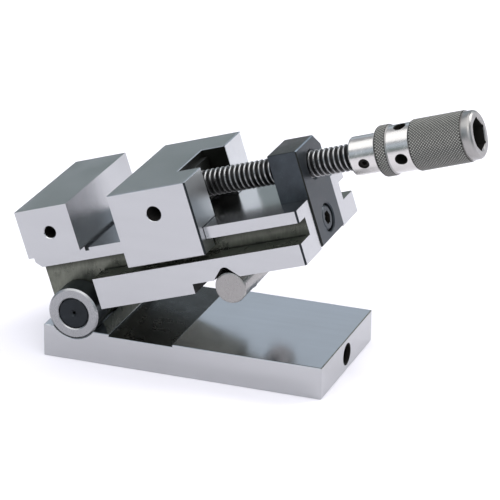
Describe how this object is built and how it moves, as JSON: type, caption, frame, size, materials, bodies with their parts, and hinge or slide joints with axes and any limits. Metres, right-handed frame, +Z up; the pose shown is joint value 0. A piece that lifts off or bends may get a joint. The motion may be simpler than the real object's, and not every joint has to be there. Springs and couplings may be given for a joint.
{
  "type": "precision sine vise",
  "caption": "Screw-type precision vise whose ground body tilts on a hinge pin over a base plate, with a sine roller beneath, a sliding jaw and a knurled handle.",
  "frame": {"origin": "centre of the base plate's bottom face", "axes": "+X along the base from the hinge end to the handle end, +Y across the jaws, +Z up"},
  "size_m": [0.1495, 0.0508, 0.0942],
  "materials": {
    "ground_steel": "fine ground",
    "polished_steel": "polished",
    "black_oxide": "black oxide, satin",
    "knurled_steel": "diamond knurled, satin",
    "thread_steel": "turned, lightly oiled",
    "brass": "turned"
  },
  "bodies": {
    "base": {"base_plate": "ground_steel", "hinge_collar_front": "ground_steel", "hinge_collar_rear": "ground_steel", "collar_screws": "black_oxide", "hinge_pin": "black_oxide"},
    "body": {"vise_body": "ground_steel", "tilt_lock_screw": "black_oxide", "lock_pad": "brass", "sine_roller": "polished_steel", "roller_screws": "black_oxide", "nut_block": "black_oxide", "nut_block_screw": "black_oxide", "nut_block_dowels": "polished_steel"},
    "jaw": {"moving_jaw": "ground_steel", "nose_thrust_disc": "polished_steel", "nose_plate": "black_oxide", "nose_plate_screws": "black_oxide"},
    "screw": {"lead_screw": "thread_steel", "handle": "knurled_steel", "handle_set_screw": "black_oxide"}
  },
  "joints": [
    {"name": "body_tilt", "type": "hinge", "parent": "base", "child": "body", "pos_m": [-0.0375, 0, 0.01625], "axis": [0, -1, 0], "range_deg": [-17.85, 27.1]},
    {"name": "jaw_slide", "type": "slide", "parent": "body", "child": "jaw", "axis": [0.9516, 0, 0.3074], "range_m": [-0.01475, 0.027]},
    {"name": "screw_spin", "type": "hinge", "parent": "jaw", "child": "screw", "pos_m": [0.01087, 0, 0.06172], "axis": [0.9516, 0, 0.3074], "range_deg": [-3036, 5560]}
  ],
  "couplings": [
    {"joint": "screw_spin", "follows": "jaw_slide", "rad_per_m": 3590.4}
  ]
}
